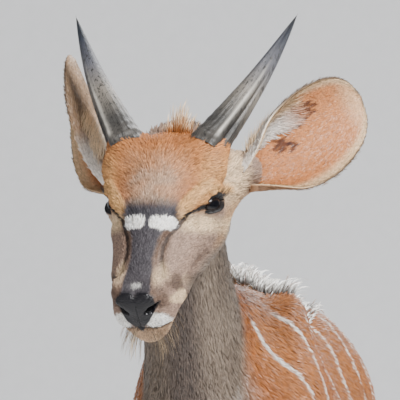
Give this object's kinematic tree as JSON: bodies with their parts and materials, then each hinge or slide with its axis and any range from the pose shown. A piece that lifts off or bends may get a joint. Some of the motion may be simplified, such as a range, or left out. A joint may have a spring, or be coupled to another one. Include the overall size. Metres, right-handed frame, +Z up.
{
  "type": "nyala",
  "caption": "Life-size still model of a young nyala ram standing alert, head turned a little aside, with short straight horns and a thin white-striped rufous coat.",
  "frame": {"origin": "middle of the figure's box, on the ground plane that its hooves stand on", "axes": "+Z up, +X towards the animal's left side, the animal faces -Y"},
  "size_m": [0.3064, 1.2072, 1.1583],
  "materials": {
    "rufous_coat": "short flat orange-brown fur with thin white stripes and a pale crest",
    "neck_coat": "grey-brown fur with a short mane along the nape",
    "face_coat": "very short rufous and grey fur with white marks",
    "ear_coat": "thin short fur, bare and pinkish inside",
    "tail_hair": "long hair, brown above and white below",
    "leg_coat": "short orange-brown fur",
    "shank_coat": "very short tan fur",
    "horn": "dry ribbed grey horn with a worn keel",
    "hoof": "dark horn, slightly polished",
    "eye": "wet dark brown"
  },
  "bodies": {
    "root": {"torso": "rufous_coat", "neck": "neck_coat", "head": "face_coat", "tail": "tail_hair", "left_ear": "ear_coat", "right_ear": "ear_coat", "left_eye": "eye", "right_eye": "eye", "left_horn": "horn", "right_horn": "horn", "left_fore_upper_leg": "leg_coat", "left_fore_lower_leg": "shank_coat", "left_fore_outer_hoof": "hoof", "left_fore_inner_hoof": "hoof", "right_fore_upper_leg": "leg_coat", "right_fore_lower_leg": "shank_coat", "right_fore_outer_hoof": "hoof", "right_fore_inner_hoof": "hoof", "left_hind_upper_leg": "leg_coat", "left_hind_lower_leg": "shank_coat", "left_hind_outer_hoof": "hoof", "left_hind_inner_hoof": "hoof", "right_hind_upper_leg": "leg_coat", "right_hind_lower_leg": "shank_coat", "right_hind_outer_hoof": "hoof", "right_hind_inner_hoof": "hoof"}
  },
  "joints": []
}
